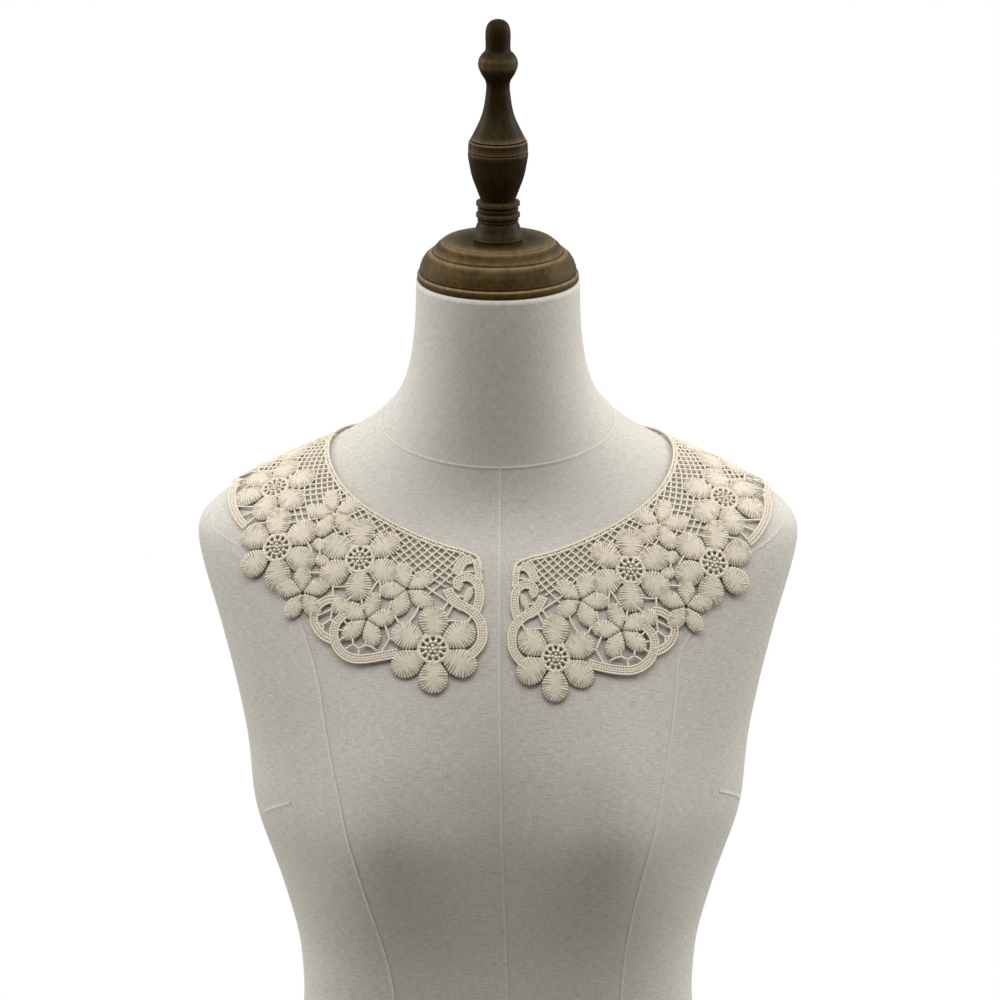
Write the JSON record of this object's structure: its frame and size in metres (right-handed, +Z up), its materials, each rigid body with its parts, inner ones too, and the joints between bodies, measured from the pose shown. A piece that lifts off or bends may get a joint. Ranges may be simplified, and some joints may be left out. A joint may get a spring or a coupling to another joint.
{
  "type": "lace collar on a tailor's dress form with a wooden neck cap and finial",
  "caption": "Round guipure lace collar of flowers, net and corded scallops, lying over the shoulders of a cloth-covered dress form with a turned wooden neck cap and finial.",
  "frame": {"origin": "on the surface that the form stands on, under the middle of the whole object's box", "axes": "+Z up, the front and the collar's opening face -Y, +X is the wearer's left"},
  "size_m": [0.3866, 0.2346, 0.8488],
  "materials": {
    "lace_cotton": "matt cream cotton cord",
    "lace_cotton_right": "matt cream cotton cord",
    "form_cloth": "matt slubbed cream linen, stretched smooth",
    "neck_cap_wood": "dark stained and waxed",
    "finial_wood": "dark stained and waxed"
  },
  "bodies": {
    "root": {"collar_left": "lace_cotton", "collar_right": "lace_cotton_right", "dress_form": "form_cloth", "neck_cap": "neck_cap_wood", "finial": "finial_wood"}
  },
  "joints": []
}
